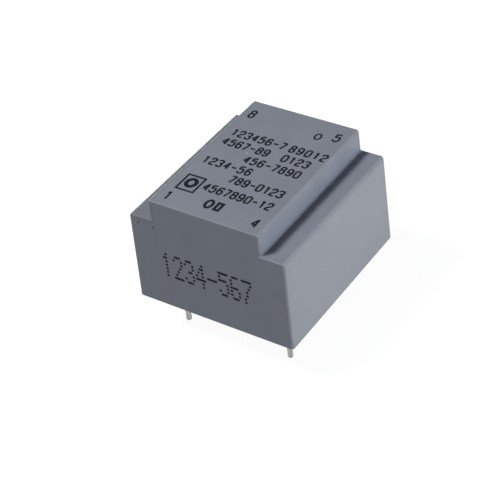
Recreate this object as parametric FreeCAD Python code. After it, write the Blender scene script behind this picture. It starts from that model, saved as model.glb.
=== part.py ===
import FreeCAD, Part
import math
import os

from FreeCAD import Vector

# An encapsulated mains transformer for a printed circuit board, in millimetres.
# The origin is the centre of the pin grid, in the plane of the case's rim, which seats on the board.
# X runs along the pin rows, -Y is the side with pins 1 to 4, and Z is up, away from the board.

# Steel core: two stacks of E-shaped sheets, whose legs meet in the middle of the coil
core_width = 20.0
core_half_length = 10.0
centre_leg = core_width / 4
outer_leg = centre_leg / 2
yoke = centre_leg / 2
sheet_thickness = 0.5
sheet_count = 12

# Pin grid: four places in each of two rows under the core's ends, of which four hold a pin
pin_pitch = 5.0
row_inset = 2.5
places_per_row = 4
primary_pins = ("1", "4")
secondary_pins = ("6", "7")

# Pins: a round tinned shaft below the potting, and a square post above it
pin_diameter = 0.7
pin_reach = 6.0
pin_tip = 0.17
post_side = 0.45

# Coil former: a tube round the centre leg, two flanges, a divider and two pin blocks
leg_gap = 0.15
tube_wall = 0.7
tube_corner = 0.5
flange_thickness = 0.8
flange_yoke_gap = 0.15
flange_leg_gap = 0.9
flange_rise = 2.45
flange_corner = 0.9
divider_thickness = 0.6
divider_offset = 0.8
block_inner_wall = 0.7
block_outer_wall = 1.35
block_end_wall = 0.95
block_roof = 0.7
block_chamfer = 0.3
core_block_gap = 0.2

# Windings: each fills its chamber up to a margin below the flange's edge
winding_margin = 0.35
tape_thickness = 0.1
lead_diameter = 0.25
lead_bend = 0.35
lead_flange_gap = 0.2
joint_diameter = 1.1
joint_swell = 0.11
joint_gap = 0.1

# Potting: the resin's surface lies a little above the rim, and climbs the wall
potting_recess = 0.4
meniscus_height = 0.15
meniscus_width = 0.6

# Case: a stepped cup, with a raised band over the coil and a ledge over each outer leg
coil_floor = 1.5
coil_top_gap = 0.25
coil_side_gap = 0.2
core_top_gap = 0.6
core_side_gap = 0.11
core_end_gap = 0.74
case_wall = 0.8
case_top = 1.0
side_draft_deg = 1.0
end_draft_deg = 1.4
core_draft_deg = 0.5
corner_radius = 0.38
ledge_edge_radius = 0.5
band_edge_radius = 0.4
end_edge_radius = 0.15
foot_radius = 0.2
cavity_radius = 0.5
rib_width = 0.9
rib_place = 5.0
rib_gap = 0.1
rib_lead_in = 1.0

# Core, worked out
core_height = sheet_count * sheet_thickness
window_end = core_half_length - yoke
window_side = core_width / 2 - outer_leg

# Former, worked out: half sizes in X and Z, and its ends in Y
bore_half_x = centre_leg / 2 + leg_gap
bore_half_z = core_height / 2 + leg_gap
tube_half_x = bore_half_x + tube_wall
tube_half_z = bore_half_z + tube_wall
flange_half_x = window_side - flange_leg_gap
flange_half_z = tube_half_z + flange_rise
flange_end = window_end - flange_yoke_gap
row_y = core_half_length - row_inset
row_end_x = pin_pitch * (places_per_row - 1) / 2
chamber_end = min(flange_end - flange_thickness, row_y - post_side / 2 - block_inner_wall)
block_end_y = row_y + post_side / 2 + block_outer_wall
block_end_x = row_end_x + post_side / 2 + block_end_wall

# Heights above the board
coil_axis = coil_floor + flange_half_z
core_bottom = coil_axis - core_height / 2
core_top = coil_axis + core_height / 2
block_top = core_bottom - core_block_gap
coil_ceiling = coil_axis + flange_half_z + coil_top_gap
core_ceiling = core_top + core_top_gap
case_height = coil_ceiling + case_top
ledge_height = core_ceiling + case_top

# Windings, worked out
winding_build = min(flange_half_x - tube_half_x, flange_rise) - winding_margin
winding_half_x = tube_half_x + winding_build
winding_half_z = tube_half_z + winding_build
winding_corner = tube_corner + winding_build
winding_bottom = coil_axis - winding_half_z
lead_height = (potting_recess + coil_floor) / 2

# Case, worked out: half sizes of its faces in the rim's plane, which the drafts narrow upwards
side_slope = math.tan(math.radians(side_draft_deg))
end_slope = math.tan(math.radians(end_draft_deg))
core_slope = math.tan(math.radians(core_draft_deg))
cavity_half_x = max(core_width / 2, block_end_x) + core_side_gap + core_slope * core_top
cavity_half_y = max(core_half_length, block_end_y) + core_end_gap + core_slope * core_top
case_half_x = cavity_half_x + case_wall
case_half_y = cavity_half_y + case_wall
band_cavity_half_x = flange_half_x + coil_side_gap + core_slope * coil_ceiling
band_half_x = flange_half_x + coil_side_gap + case_wall + side_slope * case_height


def box(low_x, high_x, low_y, high_y, low_z, high_z):
    """A block between two corners."""
    size = (high_x - low_x, high_y - low_y, high_z - low_z)
    return Part.makeBox(*size, Vector(low_x, low_y, low_z))


def along(edge, axis):
    """Whether a straight edge runs mostly along one axis: 0 for X, 1 for Y, 2 for Z."""
    run = edge.Vertexes[-1].Point - edge.Vertexes[0].Point
    lengths = [abs(run.x), abs(run.y), abs(run.z)]
    return lengths[axis] == max(lengths)


def middle(edge):
    """The point halfway between an edge's ends."""
    return (edge.Vertexes[0].Point + edge.Vertexes[-1].Point) * 0.5


def rounded_prism(half_x, half_z, corner, start_y, end_y):
    """A prism along the coil's axis with rounded corners, such as a tube's outside or a flange."""
    prism = box(-half_x, half_x, start_y, end_y, coil_axis - half_z, coil_axis + half_z)
    return prism.makeFillet(corner, [edge for edge in prism.Edges if along(edge, 1)])


def tapered(half_x, half_y, x_slope, y_slope, low, high):
    """A flat-sided block that narrows upwards. Its half sizes are those in the rim's plane."""
    low_x = half_x - x_slope * low
    low_y = half_y - y_slope * low
    high_x = half_x - x_slope * high
    high_y = half_y - y_slope * high
    block = Part.makeWedge(-low_x, low, -low_y, -high_y, -high_x, low_x, high, low_y, high_y, high_x)
    block.rotate(Vector(0, 0, 0), Vector(1, 0, 0), 90)
    return block


def pin_place(number):
    """Where a pin stands. Numbers run along the front row, then back along the rear row."""
    place = int(number)
    front = place <= places_per_row
    step = place - 1 if front else 2 * places_per_row - place
    return step * pin_pitch - row_end_x, -row_y if front else row_y


def case_outside():
    """The case's outer form: a drafted block with a ledge along each side, and its edges rounded."""
    block = tapered(case_half_x, case_half_y, side_slope, end_slope, 0, case_height)
    for side in (-1, 1):
        foot = side * (band_half_x - side_slope * ledge_height)
        shoulder = side * (band_half_x - side_slope * case_height)
        outline = [
            Vector(foot, -case_half_y, ledge_height),
            Vector(side * case_half_x, -case_half_y, ledge_height),
            Vector(side * case_half_x, -case_half_y, case_height),
            Vector(shoulder, -case_half_y, case_height),
        ]
        ledge_space = Part.Face(Part.makePolygon(outline + outline[:1]))
        block = block.cut(ledge_space.extrude(Vector(0, 2 * case_half_y, 0)))
    return round_edges(block.removeSplitter())


def edge_radius(edge):
    """The radius of one outer edge of the case, or nothing for the rim, which is sharp."""
    point = middle(edge)
    if along(edge, 2):
        return corner_radius
    if point.z < ledge_height / 2:
        return None
    if along(edge, 0):
        return end_edge_radius
    if point.z > (ledge_height + case_height) / 2:
        return band_edge_radius
    return foot_radius if abs(point.x) < (band_half_x + case_half_x) / 2 else ledge_edge_radius


def round_edges(block):
    """Rounds all the case's outer edges at once, each with its own radius, so that corners blend."""
    document = FreeCAD.newDocument("rounding")
    sharp = document.addObject("Part::Feature", "sharp")
    sharp.Shape = block
    rounded = document.addObject("Part::Fillet", "rounded")
    rounded.Base = sharp
    radii = [(number, edge_radius(edge)) for number, edge in enumerate(block.Edges, 1)]
    rounded.Edges = [(number, radius, radius) for number, radius in radii if radius]
    document.recompute()
    shape = rounded.Shape.copy()
    FreeCAD.closeDocument(document.Name)
    return shape


def centring_ribs():
    """Four ribs that centre the core, with a slope at the bottom to lead it in.

    They run halfway into the end walls and the ceiling, with which they are one piece.
    """
    ribs = []
    top = core_ceiling + case_top / 2
    start = core_bottom - rib_lead_in
    inner = core_half_length + rib_gap
    wall = cavity_half_y + case_wall / 2
    for side_x in (-1, 1):
        for side_y in (-1, 1):
            outline = [
                Vector(0, side_y * wall, start),
                Vector(0, side_y * wall, top),
                Vector(0, side_y * inner, top),
                Vector(0, side_y * inner, core_bottom),
                Vector(0, side_y * (inner + rib_lead_in / 2), start),
            ]
            face = Part.Face(Part.makePolygon(outline + outline[:1]))
            face.translate(Vector(side_x * rib_place - rib_width / 2, 0, 0))
            ribs.append(face.extrude(Vector(rib_width, 0, 0)))
    return ribs


def case_cavity():
    """The space inside the case, open at the rim."""
    lower = tapered(cavity_half_x, cavity_half_y, core_slope, core_slope, 0, core_ceiling)
    lower = lower.makeFillet(cavity_radius, [edge for edge in lower.Edges if along(edge, 2)])
    upper = tapered(band_cavity_half_x, cavity_half_y, core_slope, core_slope, 0, coil_ceiling)
    upper = upper.makeFillet(cavity_radius, [edge for edge in upper.Edges if along(edge, 2)])
    return lower.fuse(upper).cut(centring_ribs()).removeSplitter()


def lamination(side, level):
    """One E-shaped sheet. side is -1 for the front stack and 1 for the rear one."""
    half = core_width / 2
    leg = centre_leg / 2
    outline = [
        (-half, 0),
        (-half, core_half_length),
        (half, core_half_length),
        (half, 0),
        (window_side, 0),
        (window_side, window_end),
        (leg, window_end),
        (leg, 0),
        (-leg, 0),
        (-leg, window_end),
        (-window_side, window_end),
        (-window_side, 0),
    ]
    points = [Vector(x, side * y, level) for x, y in outline]
    return Part.Face(Part.makePolygon(points + points[:1])).extrude(Vector(0, 0, sheet_thickness))


def core_stack(side):
    """The sheets of one half of the core, from the bottom up."""
    return [lamination(side, core_bottom + layer * sheet_thickness) for layer in range(sheet_count)]


def pin_block(side):
    """The block under one yoke, which holds one row of pins."""
    block = box(-block_end_x, block_end_x, chamber_end, block_end_y, coil_floor, block_top)
    outer_edges = [
        edge
        for edge in block.Edges
        if middle(edge).y > block_end_y - block_outer_wall / 2 and not along(edge, 0)
    ]
    block = block.makeChamfer(block_chamfer, outer_edges)
    return block if side > 0 else block.mirror(Vector(0, 0, 0), Vector(0, 1, 0))


def post_space(number, bottom):
    """The square that a pin's post fills, from a height up to the end of its hole in the block."""
    x, y = pin_place(number)
    half = post_side / 2
    return box(x - half, x + half, y - half, y + half, bottom, block_top - block_roof)


def coil_former():
    """The moulding that carries the windings and the pins, with a square hole at every pin place."""
    body = rounded_prism(tube_half_x, tube_half_z, tube_corner, -flange_end, flange_end)
    for start, end in (
        (-flange_end, -chamber_end),
        (divider_offset - divider_thickness / 2, divider_offset + divider_thickness / 2),
        (chamber_end, flange_end),
    ):
        body = body.fuse(rounded_prism(flange_half_x, flange_half_z, flange_corner, start, end))
    body = body.fuse([pin_block(-1), pin_block(1)])
    bore = box(
        -bore_half_x, bore_half_x, -flange_end, flange_end, coil_axis - bore_half_z, coil_axis + bore_half_z
    )
    holes = [post_space(number, coil_floor) for number in range(1, 2 * places_per_row + 1)]
    return body.cut([bore] + holes).removeSplitter()


def winding(start, end):
    """All the turns in one chamber, as one solid round the former's tube."""
    outside = rounded_prism(winding_half_x, winding_half_z, winding_corner, start, end)
    return outside.cut(rounded_prism(tube_half_x, tube_half_z, tube_corner, start, end))


def tape(start, end):
    """The insulating tape round a winding."""
    grown = tape_thickness
    corner = winding_corner + grown
    outside = rounded_prism(winding_half_x + grown, winding_half_z + grown, corner, start, end)
    return outside.cut(rounded_prism(winding_half_x, winding_half_z, winding_corner, start, end))


def pin(number):
    """A pin: a square post that the former's block grips, and a round shaft with a rounded tip."""
    x, y = pin_place(number)
    shaft = Part.makeCylinder(pin_diameter / 2, potting_recess + pin_reach, Vector(x, y, -pin_reach))
    shaft = shaft.makeFillet(pin_tip, [edge for edge in shaft.Edges if edge.Closed and middle(edge).z < 0])
    return shaft.fuse(post_space(number, 0))


def joint_bead(number):
    """The outside of the soldered wrap on a pin's post: a barrel, narrower at its ends."""
    x, y = pin_place(number)
    low = potting_recess + joint_gap
    high = coil_floor - joint_gap
    end_radius = joint_diameter / 2 - joint_swell
    swell = Part.Arc(
        Vector(end_radius, 0, low),
        Vector(joint_diameter / 2, 0, (low + high) / 2),
        Vector(end_radius, 0, high),
    ).toShape()
    inside = [
        Vector(end_radius, 0, high),
        Vector(0, 0, high),
        Vector(0, 0, low),
        Vector(end_radius, 0, low),
    ]
    face = Part.Face(Part.Wire([swell] + Part.makePolygon(inside).Edges))
    bead = face.revolve(Vector(0, 0, 0), Vector(0, 0, 1), 360)
    bead.translate(Vector(x, y, 0))
    return bead


def lead(number):
    """A winding's end: straight down out of the coil, then level under the pin block to its pin."""
    x, y = pin_place(number)
    side = -1 if y < 0 else 1
    flat = winding_half_x - winding_corner - lead_diameter
    start_x = max(-flat, min(flat, x))
    start = Vector(start_x, side * (chamber_end - lead_flange_gap - lead_diameter / 2), winding_bottom)
    turn = Vector(start.x, start.y, lead_height)
    end = Vector(x, y, lead_height)
    out = (end - turn).normalize()
    bend_start = turn + Vector(0, 0, lead_bend)
    bend_end = turn + out * lead_bend
    bend_middle = turn + (Vector(0, 0, 1) + out) * (lead_bend * (1 - math.sqrt(0.5)))
    path = Part.Wire(
        [
            Part.LineSegment(start, bend_start).toShape(),
            Part.Arc(bend_start, bend_middle, bend_end).toShape(),
            Part.LineSegment(bend_end, end).toShape(),
        ]
    )
    section = Part.Wire(Part.makeCircle(lead_diameter / 2, start, Vector(0, 0, -1)))
    return path.makePipeShell([section], True, False)


def potting(contents):
    """The cast resin: the cavity above its surface, less all that it encloses."""
    low = potting_recess - meniscus_height
    resin = case_cavity().common(box(-case_half_x, case_half_x, -case_half_y, case_half_y, low, case_height))
    rim_x = cavity_half_x - core_slope * low
    rim_y = cavity_half_y - core_slope * low
    slope = meniscus_width / meniscus_height
    dish = tapered(rim_x + slope * low, rim_y + slope * low, slope, slope, low, potting_recess)
    return resin.cut(dish).cut(contents)


def build():
    """All the nodes, by name."""
    nodes = {}
    for side, place in ((-1, "front"), (1, "rear")):
        for number, sheet in enumerate(core_stack(side), 1):
            nodes[f"lamination_{place}_{number:02d}"] = sheet

    front_chamber = (-chamber_end, divider_offset - divider_thickness / 2)
    rear_chamber = (divider_offset + divider_thickness / 2, chamber_end)
    nodes["coil_former"] = coil_former()
    nodes["primary_winding"] = winding(*front_chamber)
    nodes["secondary_winding"] = winding(*rear_chamber)

    numbers = primary_pins + secondary_pins
    pins = {number: pin(number) for number in numbers}
    beads = {number: joint_bead(number) for number in numbers}
    leads = {number: lead(number) for number in numbers}
    nodes["primary_tape"] = tape(*front_chamber).cut(list(leads.values()))
    nodes["secondary_tape"] = tape(*rear_chamber).cut(list(leads.values()))
    for number in numbers:
        nodes[f"pin_{number}"] = pins[number]
        nodes[f"solder_{number}"] = beads[number].cut(pins[number])
        nodes[f"lead_{number}"] = leads[number].cut(beads[number])

    nodes["potting"] = potting(list(nodes.values()))
    nodes["case"] = case_outside().cut(case_cavity())
    return nodes


def main():
    os.makedirs("parts", exist_ok=True)
    for name, shape in build().items():
        solids = shape.Solids
        print(f"{name}: {len(solids)} solid, volume {shape.Volume:.2f} mm3, valid {shape.isValid()}")
        solid = solids[0] if len(solids) == 1 else Part.makeCompound(solids)
        solid.exportStep(f"parts/{name}.step")


main()
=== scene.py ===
import math

import bmesh
import bpy
from mathutils import Matrix, Vector


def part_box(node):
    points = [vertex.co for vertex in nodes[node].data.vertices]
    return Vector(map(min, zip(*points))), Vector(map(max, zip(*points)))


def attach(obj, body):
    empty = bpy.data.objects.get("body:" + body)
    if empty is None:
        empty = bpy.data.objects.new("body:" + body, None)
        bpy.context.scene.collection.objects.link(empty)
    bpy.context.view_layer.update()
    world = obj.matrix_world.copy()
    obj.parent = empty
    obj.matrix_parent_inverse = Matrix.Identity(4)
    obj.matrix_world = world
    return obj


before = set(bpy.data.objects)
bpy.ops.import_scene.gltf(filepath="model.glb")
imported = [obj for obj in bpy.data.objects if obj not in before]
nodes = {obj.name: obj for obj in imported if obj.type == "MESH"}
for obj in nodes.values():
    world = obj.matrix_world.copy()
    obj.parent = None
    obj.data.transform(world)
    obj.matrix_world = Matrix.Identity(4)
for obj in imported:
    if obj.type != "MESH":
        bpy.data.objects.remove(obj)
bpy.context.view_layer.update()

# A potted mains transformer for a circuit board, standing on its four solder pins.
# Blender's unit is the metre. Sizes here are in millimetres times MM.
MM = 0.001

case = nodes["case"]

# Camera: a long lens, above the front right corner and tilted a little
camera_azimuth = 37.78
camera_elevation = 38.86
camera_roll = -7.33
camera_distance = 180.6 * MM
camera_aim_height = 7.68 * MM
camera_shift_right = -1.39 * MM
camera_shift_up = -4.11 * MM
camera_lens = 108.2
camera_near = 10 * MM

# Light: a key lamp from the upper left front, a low cool card on the right, another behind the left
# rear corner for the sides that face away, the warm light that the paper throws up, and a faint sky
key_direction = Vector((-0.42, -0.46, 1.0)).normalized()
key_distance = 400 * MM
key_width = 85 * MM
key_power = 1.64
card_place = Vector((100 * MM, 6 * MM, 14 * MM))
card_aim = Vector((11 * MM, 0, 8 * MM))
card_width = 90 * MM
card_height = 38 * MM
card_power = 0.108
card_colour = "#EEF5FF"
far_card_place = Vector((-100 * MM, 50 * MM, 3 * MM))
far_card_aim = Vector((-11 * MM, 0, 3 * MM))
far_card_width = 100 * MM
far_card_height = 14 * MM
far_card_power = 0.045
paper_place = Vector((62 * MM, 12 * MM, -5.9 * MM))
paper_aim = Vector((62 * MM, 12 * MM, 50 * MM))
paper_width = 90 * MM
paper_depth = 60 * MM
paper_power = 0.016
paper_colour = "#FFE9AC"
sky_strength = 0.085
sky_colour = "#CAE2FF"

# Floor: its colour under the lamps, its glow for the camera, which together make white, and its size
floor_colour = "#6A6A6A"
floor_glow = 0.93
floor_size = 2000 * MM

# Winding wire: the pitch of its turns, and the bands that a wave texture of scale 1 draws in a metre
wire_pitch = 0.15 * MM
wave_bands = 20 / (2 * math.pi)

# Patterns: the parts of their range over which a colour goes from dark to pale, and a roughness from
# its low to its high value. A noise seldom leaves the middle of its range.
tone_range = (0.3, 0.7)
gloss_range = (0.25, 0.75)

# Resin collar round a pin: its outline in millimetres, as distance from the pin's side and rise above
# the resin with the underside up, and the number of its sides
collar_profile = (
    (-0.02, 0.25),
    (0.03, 0.24),
    (0.07, 0.15),
    (0.16, 0.07),
    (0.4, 0.0),
    (0.4, -0.04),
    (-0.02, -0.04),
)
collar_sides = 24

# Printed figures on the top: height and width between the middles of the strokes, how much larger the
# pin figures are, the width of the pen and the thickness of the ink
figure_height = 1.24 * MM
figure_width = 0.6 * MM
pin_figure_scale = 1.15
pen_width = 0.28 * MM
ink_thickness = 0.01 * MM

# Printed lines: figures, and in millimetres the middles of the first and last one and the line's y
top_lines = (
    ("123456-7", -5.82, 1.03, 4.45),
    ("89012", 2.42, 6.72, 4.45),
    ("4567-89", -5.83, -0.03, 2.45),
    ("0123", 2.56, 5.53, 2.45),
    ("456-7890", -1.39, 5.56, 0.33),
    ("1234-56", -5.86, 0.11, -1.67),
    ("789-0123", -0.78, 5.83, -3.69),
    ("4567890-12", -2.72, 5.89, -6.17),
)

# Pin numbers: figure and middle in millimetres
pin_figures = (("8", -5.98, 8.61), ("5", 6.05, 8.61), ("1", -5.92, -9.43), ("4", 6.08, -9.38))

# Plain printed marks: name, middle, width, height and stroke in millimetres, and number of sides
ring_sides = 32
frame_sides = 4
top_marks = (
    ("printed_small_ring", 3.8, 7.9, 1.0, 1.35, 0.24, ring_sides),
    ("printed_tall_frame", -4.79, -6.4, 2.64, 3.08, 0.26, frame_sides),
    ("printed_inner_ring", -4.79, -6.3, 1.7, 1.9, 0.5, ring_sides),
    ("printed_left_ring", -0.62, -8.74, 1.2, 1.75, 0.36, ring_sides),
    ("printed_right_frame", 0.68, -8.74, 0.95, 1.6, 0.36, frame_sides),
)

# Each printed figure as pen strokes in a box of its own units: straight, curved, or a closed curve
stroke_box_width = 4
stroke_box_height = 6
pen_strokes = {
    "0": (("closed", (0, 6), (0, 3), (0, 0), (4, 0), (4, 3), (4, 6)),),
    "1": (("straight", (0.7, 4.7), (2.3, 6)), ("straight", (2.3, 6), (2.3, 0))),
    "2": (
        ("curved", (0, 4.2), (0, 6), (4, 6), (4, 3.4), (0, 1.8), (0, 0)),
        ("straight", (0, 0), (4, 0)),
    ),
    "3": (
        ("curved", (0, 4.8), (0, 6), (4, 6), (4, 3.2), (1.4, 3.2)),
        ("curved", (1.4, 3.2), (4, 3.2), (4, 0), (0, 0), (0, 1.3)),
    ),
    "4": (
        ("straight", (3, 0), (3, 6)),
        ("straight", (3, 6), (0, 1.8)),
        ("straight", (0, 1.8), (4, 1.8)),
    ),
    "5": (
        ("straight", (3.8, 6), (0.4, 6)),
        ("straight", (0.4, 6), (0.2, 3.2)),
        ("curved", (0.2, 3.2), (4, 5), (4, 0), (0, 0), (0, 1.2)),
    ),
    "6": (("curved", (3.9, 4.8), (3.9, 6), (0, 6), (0, 0), (4, 0), (4, 3.6), (0, 3.6), (0, 1.6)),),
    "7": (("straight", (0, 6), (4, 6)), ("straight", (4, 6), (1.3, 0))),
    "8": (
        ("closed", (0.2, 6), (0.2, 3.3), (3.8, 3.3), (3.8, 6)),
        ("closed", (0, 3.3), (0, 0), (4, 0), (4, 3.3)),
    ),
    "9": (("curved", (0.1, 1.2), (0.1, 0), (4, 0), (4, 6), (0, 6), (0, 2.4), (4, 2.4), (4, 4.4)),),
    "-": (("straight", (0, 3), (4, 3)),),
}

# Marks of the moulding, seen on the front, the ledge and the top: middle and radius in millimetres,
# and the share of the radius inside which a mark has its full colour
dark_pits = (((-9.42, -11.35, 11.6), 0.22), ((-7.35, -11.35, 11.45), 0.2), ((6.9, 1.4, 15.35), 0.13))
bright_specks = (((7.95, 4.1, 12.4), 0.2), ((8.7, -0.6, 12.4), 0.16), ((-2.1, 1.4, 15.35), 0.2))
mark_core = 0.4

# Painted highlight and painted shade on the case: how far an edge's skin is turned where the painted
# highlight begins and where it is full, with one on a flat face and 1.41 in the middle of an edge
# between two of the top, the front and the right. How pale the painted highlight makes it, and the
# height or the x from which edges get it. How dark the painted shade on the left ledge is, and where it
# begins. The width over which both set in.
edge_turn = (1.08, 1.36)
edge_highlight_share = 0.42
edge_highlight_height = 12.8 * MM
edge_highlight_right = 8.5 * MM
ledge_shade_share = 0.9
ledge_shade_left = -6.9 * MM
ledge_shade_height = 12.3 * MM
blend_width = 0.4 * MM

# Date printer's figures on the front: where the first column and the top row are, the columns from one
# figure to the next, the dots' width, their pitch across and down, and the number of their sides
code_figures = "1234-567"
code_left = -6.6 * MM
code_top = 7.97 * MM
code_step = 6
dot_width = 0.37 * MM
column_pitch = 0.27 * MM
row_pitch = 0.53 * MM
dot_sides = 16

# Each figure of the date printer, five dots wide and seven high, from its top row down
dot_figures = {
    "1": "..#.. .##.. ..#.. ..#.. ..#.. ..#.. ..#..",
    "2": ".###. #...# ....# ...#. ..#.. .#... #####",
    "3": ".###. #...# ....# ..##. ....# #...# .###.",
    "4": "...#. ..##. .#.#. #..#. ##### ...#. ...#.",
    "5": "##### #.... ####. ....# ....# #...# .###.",
    "6": ".###. #.... #.... ####. #...# #...# .###.",
    "7": "##### ....# ...#. ..#.. ..#.. .#... .#...",
    "-": "..... ..... ..... ##### ..... ..... .....",
}


def linear(colour):
    """An sRGB hex colour as the linear values that a shader takes."""
    shares = [int(colour[place : place + 2], 16) / 255 for place in (1, 3, 5)]
    return [s / 12.92 if s <= 0.04045 else ((s + 0.055) / 1.055) ** 2.4 for s in shares] + [1.0]


def add(tree, kind, settings=None, sockets=None, links=None):
    """Adds a node with its settings, the values of its own sockets, and the links into it."""
    node = tree.nodes.new(kind)
    for name, value in (settings or {}).items():
        setattr(node, name, value)
    for name, value in (sockets or {}).items():
        node.inputs[name].default_value = value
    for name, source in (links or {}).items():
        tree.links.new(source, node.inputs[name])
    return node


def new_material(name):
    """A material and its node tree, with nothing in it."""
    material = bpy.data.materials.new(name)
    material.use_nodes = True
    tree = material.node_tree
    tree.nodes.clear()
    return material, tree


def two_tone(tree, pattern, dark, pale):
    """A colour that goes from dark to pale over the middle of a pattern's range."""
    first, last = tone_range
    share = add(
        tree,
        "ShaderNodeMapRange",
        sockets={"From Min": first, "From Max": last},
        links={"Value": pattern},
    )
    return add(
        tree,
        "ShaderNodeMixRGB",
        sockets={"Color1": linear(dark), "Color2": linear(pale)},
        links={"Fac": share.outputs["Result"]},
    ).outputs["Color"]


def marked(tree, place, colour, marks, mark_colour):
    """A colour with small round marks of another colour, each with a middle and a radius."""
    for middle, radius in marks:
        away = add(
            tree,
            "ShaderNodeVectorMath",
            settings={"operation": "DISTANCE"},
            sockets={1: [part * MM for part in middle]},
            links={0: place},
        ).outputs["Value"]
        share = add(
            tree,
            "ShaderNodeMapRange",
            sockets={"From Min": radius * MM, "From Max": mark_core * radius * MM},
            links={"Value": away},
        ).outputs["Result"]
        colour = add(
            tree,
            "ShaderNodeMixRGB",
            sockets={"Color2": linear(mark_colour)},
            links={"Fac": share, "Color1": colour},
        ).outputs["Color"]
    return colour


def paint_edge_highlight_and_ledge_shade(tree, place, colour, edge_highlight_colour, ledge_shade_colour):
    """Paints a highlight on the band's and right side's edges, and paints shade on the left ledge."""
    normal = add(tree, "ShaderNodeTexCoord").outputs["Normal"]
    parts = add(tree, "ShaderNodeSeparateXYZ", links={"Vector": place}).outputs
    # At most one on a flat face, and more on an edge between the top, the front and the right
    turned = add(
        tree,
        "ShaderNodeVectorMath",
        settings={"operation": "DOT_PRODUCT"},
        sockets={1: (1, -1, 1)},
        links={0: normal},
    ).outputs["Value"]
    ranges = (
        # where the painted highlight on the edges lies
        (turned, *edge_turn),
        (parts["X"], edge_highlight_right, edge_highlight_right + blend_width),
        (parts["Z"], edge_highlight_height, edge_highlight_height + blend_width),
        # where the painted shade on the left ledge lies
        (parts["X"], ledge_shade_left, ledge_shade_left - blend_width),
        (parts["Z"], ledge_shade_height - blend_width, ledge_shade_height),
    )
    edge, right, high, left, ledge = [
        add(
            tree,
            "ShaderNodeMapRange",
            sockets={"From Min": first, "From Max": last},
            links={"Value": value},
        ).outputs["Result"]
        for value, first, last in ranges
    ]
    outer = add(tree, "ShaderNodeMath", settings={"operation": "MAXIMUM"}, links={0: right, 1: high})
    steps = (
        # a painted highlight on the edges that face the top, the front and the right
        (edge, outer.outputs[0], edge_highlight_share, edge_highlight_colour),
        # painted shade on the left ledge
        (left, ledge, ledge_shade_share, ledge_shade_colour),
    )
    for first, second, strength, other in steps:
        both = add(
            tree,
            "ShaderNodeMath",
            settings={"operation": "MULTIPLY"},
            links={0: first, 1: second},
        )
        share = add(
            tree,
            "ShaderNodeMath",
            settings={"operation": "MULTIPLY"},
            sockets={1: strength},
            links={0: both.outputs[0]},
        )
        colour = add(
            tree,
            "ShaderNodeMixRGB",
            sockets={"Color2": linear(other)},
            links={"Fac": share.outputs[0], "Color1": colour},
        ).outputs["Color"]
    return colour


def complete(tree, pattern, colour, roughness, sockets=None, relief=None, strength=0.0, depth=0.0):
    """Completes a material: its colour, a roughness that follows a pattern, and its skin's relief."""
    first, last = gloss_range
    low, high = roughness
    gloss = add(
        tree,
        "ShaderNodeMapRange",
        sockets={"From Min": first, "From Max": last, "To Min": low, "To Max": high},
        links={"Value": pattern},
    )
    links = {"Base Color": colour, "Roughness": gloss.outputs["Result"]}
    if relief is not None:
        bump = add(
            tree,
            "ShaderNodeBump",
            sockets={"Strength": strength, "Distance": depth},
            links={"Height": relief},
        )
        links["Normal"] = bump.outputs["Normal"]
    shader = add(tree, "ShaderNodeBsdfPrincipled", sockets=sockets, links=links)
    add(tree, "ShaderNodeOutputMaterial", links={"Surface": shader.outputs["BSDF"]})


def moulded_polyester():
    """Glass-filled polyester, injection moulded in a blasted steel tool.

    A dull blue-grey skin: broad clouds from the flow of the melt, the fine tooth of the tool, a few
    dark pits where gas was trapped, some specks of bright filler, a painted highlight on the outer
    edges and painted shade on the left ledge. The tooth is a little coarser than the real one, so that
    it shows.
    """
    material, tree = new_material("glass_filled_polyester_moulded")
    place = add(tree, "ShaderNodeTexCoord").outputs["Object"]
    flow = {"Scale": 1 / (4.0 * MM), "Detail": 2.0}
    clouds = add(tree, "ShaderNodeTexNoise", sockets=flow, links={"Vector": place}).outputs["Fac"]
    blasted = {"Scale": 1 / (0.12 * MM), "Detail": 2.0}
    tooth = add(tree, "ShaderNodeTexNoise", sockets=blasted, links={"Vector": place}).outputs["Fac"]
    colour = two_tone(tree, clouds, "#737780", "#797D86")
    colour = marked(tree, place, colour, dark_pits, "#3F4147")
    colour = marked(tree, place, colour, bright_specks, "#9A9FA6")
    # A painted highlight on the edges that face the top, front and right, and painted shade on the left
    # ledge
    colour = paint_edge_highlight_and_ledge_shade(tree, place, colour, "#88888B", "#6B6E73")
    complete(
        tree,
        clouds,
        colour,
        roughness=(0.48, 0.58),
        sockets={"Specular IOR Level": 0.21},
        relief=tooth,
        strength=0.25,
        depth=0.01 * MM,
    )
    return material


def cast_epoxy():
    """Filled epoxy resin, cast with the case upside down: smooth, half glossy, clouded by filler."""
    material, tree = new_material("epoxy_resin_cast")
    place = add(tree, "ShaderNodeTexCoord").outputs["Object"]
    filler = {"Scale": 1 / (3.0 * MM), "Detail": 3.0}
    clouds = add(tree, "ShaderNodeTexNoise", sockets=filler, links={"Vector": place}).outputs["Fac"]
    flow = {"Scale": 1 / (1.6 * MM), "Detail": 1.0}
    ripple = add(tree, "ShaderNodeTexNoise", sockets=flow, links={"Vector": place}).outputs["Fac"]
    colour = two_tone(tree, clouds, "#23262B", "#30343A")
    complete(
        tree,
        clouds,
        colour,
        roughness=(0.22, 0.38),
        relief=ripple,
        strength=0.5,
        depth=0.08 * MM,
    )
    return material


def moulded_nylon():
    """Black nylon, injection moulded and polished by its tool."""
    material, tree = new_material("nylon_moulded")
    place = add(tree, "ShaderNodeTexCoord").outputs["Object"]
    flow = {"Scale": 1 / (2.0 * MM)}
    clouds = add(tree, "ShaderNodeTexNoise", sockets=flow, links={"Vector": place}).outputs["Fac"]
    colour = two_tone(tree, clouds, "#1B1C1E", "#242527")
    complete(tree, clouds, colour, roughness=(0.3, 0.42))
    return material


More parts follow.
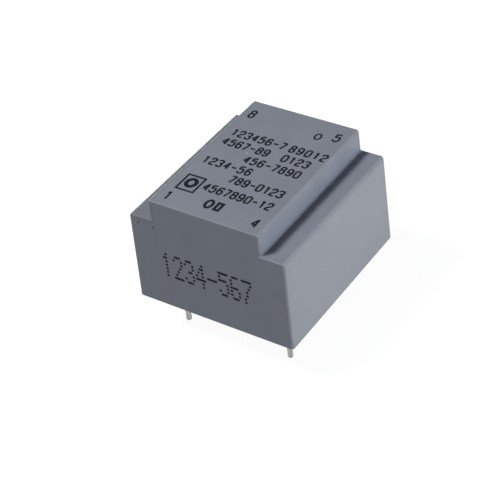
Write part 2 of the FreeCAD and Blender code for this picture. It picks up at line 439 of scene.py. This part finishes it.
def stamped_steel():
    """Silicon steel sheet, rolled and then stamped: grey metal with the grain of the rolling."""
    material, tree = new_material("silicon_steel_stamped")
    place = add(tree, "ShaderNodeTexCoord").outputs["Object"]
    rolled = {"Scale": (1.0, 0.05, 1.0)}
    along = add(tree, "ShaderNodeMapping", sockets=rolled, links={"Vector": place}).outputs["Vector"]
    fine = {"Scale": 1 / (0.1 * MM)}
    grain = add(tree, "ShaderNodeTexNoise", sockets=fine, links={"Vector": along}).outputs["Fac"]
    colour = two_tone(tree, grain, "#8C8F94", "#A3A6AB")
    complete(tree, grain, colour, roughness=(0.32, 0.5), sockets={"Metallic": 1.0})
    return material


def enamelled_copper():
    """Fine copper wire under clear enamel, wound in turns that lie side by side round the tube."""
    material, tree = new_material("copper_wire_enamelled")
    place = add(tree, "ShaderNodeTexCoord").outputs["Object"]
    turns = add(
        tree,
        "ShaderNodeTexWave",
        settings={"wave_type": "BANDS", "bands_direction": "Y", "wave_profile": "SIN"},
        sockets={"Scale": 1 / (wave_bands * wire_pitch), "Distortion": 0.4, "Detail": 1.0},
        links={"Vector": place},
    ).outputs["Fac"]
    # Paler on the crests of the turns and darker in the grooves between them: painted highlight and
    # painted shade
    colour = two_tone(tree, turns, "#7A3E1E", "#C4763F")
    enamel = {"Metallic": 1.0, "Coat Weight": 0.6, "Coat Roughness": 0.15}
    complete(
        tree,
        turns,
        colour,
        roughness=(0.4, 0.28),
        sockets=enamel,
        relief=turns,
        strength=1.0,
        depth=0.04 * MM,
    )
    return material


def polyester_tape():
    """Yellow polyester film tape, wrapped in laps and a little wrinkled."""
    material, tree = new_material("polyester_film_tape")
    place = add(tree, "ShaderNodeTexCoord").outputs["Object"]
    laps = {"Scale": 1 / (1.2 * MM)}
    wrinkles = add(tree, "ShaderNodeTexNoise", sockets=laps, links={"Vector": place}).outputs["Fac"]
    colour = two_tone(tree, wrinkles, "#D2A93A", "#E0BC55")
    complete(
        tree,
        wrinkles,
        colour,
        roughness=(0.2, 0.35),
        relief=wrinkles,
        strength=0.4,
        depth=0.05 * MM,
    )
    return material


def tinned_wire():
    """Tinned wire, drawn through a die and hot dipped: bright and dull streaks along soft metal."""
    material, tree = new_material("tinned_wire_drawn")
    place = add(tree, "ShaderNodeTexCoord").outputs["Object"]
    drawn = {"Scale": (1.0, 1.0, 0.04)}
    along = add(tree, "ShaderNodeMapping", sockets=drawn, links={"Vector": place}).outputs["Vector"]
    lines = {"Scale": 1 / (0.3 * MM)}
    streaks = add(tree, "ShaderNodeTexNoise", sockets=lines, links={"Vector": along}).outputs["Fac"]
    colour = two_tone(tree, streaks, "#6B6A67", "#C2C1BE")
    complete(
        tree,
        streaks,
        colour,
        roughness=(0.28, 0.42),
        sockets={"Metallic": 1.0},
        relief=streaks,
        strength=0.4,
        depth=0.02 * MM,
    )
    return material


def soft_solder():
    """Tin solder, frozen in a lump: bright, smooth and softly rippled."""
    material, tree = new_material("tin_solder_frozen")
    place = add(tree, "ShaderNodeTexCoord").outputs["Object"]
    frozen = {"Scale": 1 / (0.4 * MM)}
    ripples = add(tree, "ShaderNodeTexNoise", sockets=frozen, links={"Vector": place}).outputs["Fac"]
    colour = two_tone(tree, ripples, "#A9ABAD", "#C9CBCD")
    complete(
        tree,
        ripples,
        colour,
        roughness=(0.18, 0.3),
        sockets={"Metallic": 1.0},
        relief=ripples,
        strength=0.5,
        depth=0.03 * MM,
    )
    return material


def pad_ink():
    """Dark two-part ink, pad printed or sprayed in dots: thin, dull and a little patchy."""
    material, tree = new_material("ink_pad_printed")
    place = add(tree, "ShaderNodeTexCoord").outputs["Object"]
    skin = {"Scale": 1 / (0.3 * MM), "Detail": 4.0}
    patches = add(tree, "ShaderNodeTexNoise", sockets=skin, links={"Vector": place}).outputs["Fac"]
    colour = two_tone(tree, patches, "#060A11", "#101725")
    complete(tree, patches, colour, roughness=(0.45, 0.6), sockets={"Specular IOR Level": 0.07})
    return material


def seen_directly(tree):
    """One for what the camera or a polished surface sees, and nought for light on other things."""
    path = add(tree, "ShaderNodeLightPath")
    seen = path.outputs["Is Camera Ray"]
    for ray in ("Is Glossy Ray", "Is Transmission Ray"):
        seen = add(
            tree,
            "ShaderNodeMath",
            settings={"operation": "MAXIMUM"},
            links={0: seen, 1: path.outputs[ray]},
        ).outputs[0]
    return seen


def studio_floor():
    """White paper that keeps a faint shadow of the transformer and throws little light back."""
    material, tree = new_material("white_paper")
    seen = seen_directly(tree)
    dull = add(tree, "ShaderNodeBsdfDiffuse", sockets={"Color": linear(floor_colour)})
    glow = add(tree, "ShaderNodeEmission", sockets={"Color": (1, 1, 1, 1), "Strength": floor_glow})
    bright = add(tree, "ShaderNodeAddShader", links={0: dull.outputs[0], 1: glow.outputs[0]})
    mix = add(tree, "ShaderNodeMixShader", links={0: seen, 1: dull.outputs[0], 2: bright.outputs[0]})
    add(tree, "ShaderNodeOutputMaterial", links={"Surface": mix.outputs[0]})
    return material


def make_mesh(name, build, material):
    """A mesh object from a function that fills a bmesh."""
    shape = bmesh.new()
    build(shape)
    mesh = bpy.data.meshes.new(name)
    shape.to_mesh(mesh)
    shape.free()
    piece = bpy.data.objects.new(name, mesh)
    bpy.context.scene.collection.objects.link(piece)
    mesh.materials.append(material)
    return piece


def surface_at(node, start, direction):
    """Where a line from outside meets a CAD node."""
    hit, point = node.ray_cast(start, direction)[:2]
    if not hit:
        raise RuntimeError("the line misses " + node.name)
    return point


def join_loops(shape, loops):
    """Faces between each loop of vertices and the next, and between the last and the first."""
    for first, second in zip(loops, loops[1:] + loops[:1]):
        for side in range(len(first)):
            following = (side + 1) % len(first)
            shape.faces.new((first[side], second[side], second[following], first[following]))
    bmesh.ops.recalc_face_normals(shape, faces=shape.faces)


def top_frame():
    """The top's own axes and centre: x right, y away from the viewer, z out of the plastic."""
    centre = surface_at(case, Vector((0, 0, 1)), Vector((0, 0, -1)))
    return Matrix.Translation(centre)


def front_frame():
    """The front's own axes, from mid-width at the rim: x right, y up the wall, z out of it."""
    low_height = 3 * MM
    high_height = 9 * MM
    low = surface_at(case, Vector((0, -1, low_height)), Vector((0, 1, 0)))
    high = surface_at(case, Vector((0, -1, high_height)), Vector((0, 1, 0)))
    up = (high - low).normalized()
    right = Vector((1, 0, 0))
    out = right.cross(up)
    foot = low - up * (low_height / up.z)
    axes = Matrix((right, up, out)).transposed().to_4x4()
    return Matrix.Translation(foot) @ axes


def add_collar(pin, resin):
    """Resin that crept up a pin before it set: a hollow fillet round the pin's foot."""
    low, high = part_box(pin)
    middle = (low + high) / 2
    radius = (high.x - low.x) / 2
    beside_pin = Vector((middle.x + 2 * radius, middle.y, low.z))
    level = surface_at(nodes["potting"], beside_pin, Vector((0, 0, 1))).z

    def build(shape):
        loops = []
        for outward, rise in collar_profile:
            reach = radius + outward * MM
            loop = []
            for side in range(collar_sides):
                angle = 2 * math.pi * side / collar_sides
                across = middle.x + reach * math.cos(angle)
                away = middle.y + reach * math.sin(angle)
                loop.append(shape.verts.new((across, away, level - rise * MM)))
            loops.append(loop)
        join_loops(shape, loops)

    piece = make_mesh("resin_collar_" + pin, build, resin)
    piece.data.shade_smooth()
    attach(piece, "root")


def print_figures(name, text, first, last, row, scale, surface, ink):
    """A line of figures, drawn with a round pen and pressed flat: first and last are their middles."""
    width = scale * figure_width
    height = scale * figure_height
    curve = bpy.data.curves.new(name, "CURVE")
    curve.dimensions = "3D"
    curve.resolution_u = 4
    curve.bevel_depth = pen_width / 2
    curve.bevel_resolution = 2
    curve.use_fill_caps = True
    for place, figure in enumerate(text):
        share = place / max(len(text) - 1, 1)
        left = first + share * (last - first) - width / 2
        for kind, *points in pen_strokes[figure]:
            spline = curve.splines.new("POLY" if kind == "straight" else "NURBS")
            spline.points.add(len(points) - 1)
            for point, (x, y) in zip(spline.points, points):
                across = left + x / stroke_box_width * width
                up = row + (y / stroke_box_height - 0.5) * height
                point.co = (across, up, 0, 1)
            if kind != "straight":
                spline.order_u = 3
                spline.use_cyclic_u = kind == "closed"
                spline.use_endpoint_u = kind == "curved"
    piece = bpy.data.objects.new(name, curve)
    bpy.context.scene.collection.objects.link(piece)
    pressed = Matrix.Diagonal((1, 1, 2 * ink_thickness / pen_width, 1))
    piece.matrix_world = surface @ pressed
    curve.materials.append(ink)
    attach(piece, "root")


def print_dots(surface, ink):
    """The date printer's figures on the front, each dot a flat drop of ink."""

    def build(shape):
        for place, figure in enumerate(code_figures):
            left = code_left + place * code_step * column_pitch
            for row, cells in enumerate(dot_figures[figure].split()):
                for column, cell in enumerate(cells):
                    if cell == "#":
                        across = left + column * column_pitch
                        up = code_top - row * row_pitch
                        middle = Matrix.Translation((across, up, 0))
                        bmesh.ops.create_cone(
                            shape,
                            cap_ends=True,
                            segments=dot_sides,
                            radius1=dot_width / 2,
                            radius2=dot_width / 2,
                            depth=ink_thickness,
                            matrix=surface @ middle,
                        )

    piece = make_mesh("printed_dots_front", build, ink)
    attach(piece, "root")


def print_ring(name, x, y, width, height, stroke, sides, surface, ink):
    """A plain printed ring, or a frame where it has four sides, of ink."""
    turn = math.pi / sides
    # A frame reaches its width and height at its sides, and a ring nearly does at its corners.
    shrink = math.cos(turn) if sides == frame_sides else 1

    def build(shape):
        loops = []
        for inset, level in ((stroke, 0), (0, 0), (0, ink_thickness), (stroke, ink_thickness)):
            loop = []
            for side in range(sides):
                angle = turn + 2 * math.pi * side / sides
                across = x + (width / 2 - inset) * math.cos(angle) / shrink
                up = y + (height / 2 - inset) * math.sin(angle) / shrink
                loop.append(shape.verts.new(surface @ Vector((across, up, level))))
            loops.append(loop)
        join_loops(shape, loops)

    piece = make_mesh(name, build, ink)
    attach(piece, "root")


def print_top(ink):
    """The print on the top: lines of figures, pin numbers at the corners and plain marks."""
    surface = top_frame()
    for number, (text, first, last, y) in enumerate(top_lines, 1):
        name = f"printed_line_{number}"
        print_figures(name, text, first * MM, last * MM, y * MM, 1, surface, ink)
    for figure, x, y in pin_figures:
        name = f"printed_pin_{figure}"
        print_figures(name, figure, x * MM, x * MM, y * MM, pin_figure_scale, surface, ink)
    for name, x, y, width, height, stroke, sides in top_marks:
        sizes = [size * MM for size in (x, y, width, height, stroke)]
        print_ring(name, *sizes, sides, surface, ink)


def paint_nodes(resin):
    """Gives every CAD node the finish of its real material."""
    finishes = {
        "case": moulded_polyester(),
        "potting": resin,
        "coil_former": moulded_nylon(),
        "lamination": stamped_steel(),
        "primary_winding": enamelled_copper(),
        "primary_tape": polyester_tape(),
        "pin": tinned_wire(),
        "solder": soft_solder(),
    }
    finishes["lead"] = finishes["primary_winding"]
    finishes["secondary_winding"] = finishes["primary_winding"]
    finishes["secondary_tape"] = finishes["primary_tape"]
    for name, node in nodes.items():
        kind = next(kind for kind in finishes if name.startswith(kind))
        node.data.materials.clear()
        node.data.materials.append(finishes[kind])


def lamp(name, place, aim, width, height, power, colour="#FFFFFF"):
    """An area lamp that points at a place."""
    light = bpy.data.lights.new(name, "AREA")
    light.color = linear(colour)[:3]
    light.shape = "RECTANGLE"
    light.size = width
    light.size_y = height
    light.energy = power
    holder = bpy.data.objects.new(name, light)
    bpy.context.scene.collection.objects.link(holder)
    holder.location = place
    holder.rotation_mode = "QUATERNION"
    holder.rotation_quaternion = (place - aim).to_track_quat("Z", "Y")
    holder.visible_camera = False


def hang_lamps():
    """The key lamp, the two cards and the light off the paper."""
    middle = Vector((0, 0, camera_aim_height))
    lamp("key_lamp", middle + key_direction * key_distance, middle, key_width, key_width, key_power)
    lamp("card_lamp", card_place, card_aim, card_width, card_height, card_power, card_colour)
    lamp("far_card_lamp", far_card_place, far_card_aim, far_card_width, far_card_height, far_card_power)
    lamp("paper_lamp", paper_place, paper_aim, paper_width, paper_depth, paper_power, paper_colour)


def make_sky():
    """A faint cool sky that the camera sees as white."""
    world = bpy.data.worlds.new("studio_sky")
    world.use_nodes = True
    tree = world.node_tree
    tree.nodes.clear()
    seen = seen_directly(tree)
    sky = {"Color": linear(sky_colour), "Strength": sky_strength}
    faint = add(tree, "ShaderNodeBackground", sockets=sky)
    white = add(tree, "ShaderNodeBackground", sockets={"Color": (1, 1, 1, 1), "Strength": 1.0})
    mix = add(tree, "ShaderNodeMixShader", links={0: seen, 1: faint.outputs[0], 2: white.outputs[0]})
    add(tree, "ShaderNodeOutputWorld", links={"Surface": mix.outputs[0]})
    bpy.context.scene.world = world


def lay_floor():
    """The paper under the tips of the pins."""
    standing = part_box("pin_1")[0].z

    def build(shape):
        bmesh.ops.create_grid(
            shape,
            x_segments=1,
            y_segments=1,
            size=floor_size / 2,
            matrix=Matrix.Translation((0, 0, standing)),
        )

    floor = make_mesh("studio_floor", build, studio_floor())


def place_camera():
    """The photographer's view, with its small roll."""
    azimuth = math.radians(camera_azimuth)
    elevation = math.radians(camera_elevation)
    roll = math.radians(camera_roll)
    back = Vector(
        (
            math.sin(azimuth) * math.cos(elevation),
            -math.cos(azimuth) * math.cos(elevation),
            math.sin(elevation),
        )
    )
    level = Vector((0, 0, 1)).cross(back).normalized()
    raised = back.cross(level)
    right = level * math.cos(roll) + raised * math.sin(roll)
    up = raised * math.cos(roll) - level * math.sin(roll)
    place = Vector((0, 0, camera_aim_height)) + back * camera_distance
    place += right * camera_shift_right + up * camera_shift_up
    camera = bpy.data.objects.new("camera", bpy.data.cameras.new("camera"))
    camera.data.lens = camera_lens
    camera.data.clip_start = camera_near
    camera.matrix_world = Matrix.Translation(place) @ Matrix((right, up, back)).transposed().to_4x4()
    bpy.context.scene.collection.objects.link(camera)
    bpy.context.scene.camera = camera


def main():
    """Lights and dresses the CAD nodes, and adds the print and the collars."""
    place_camera()
    hang_lamps()
    make_sky()
    lay_floor()
    resin = cast_epoxy()
    paint_nodes(resin)
    for pin in [name for name in nodes if name.startswith("pin_")]:
        add_collar(pin, resin)
    ink = pad_ink()
    print_top(ink)
    print_dots(front_frame(), ink)
    bpy.context.scene.view_settings.view_transform = "Standard"


main()
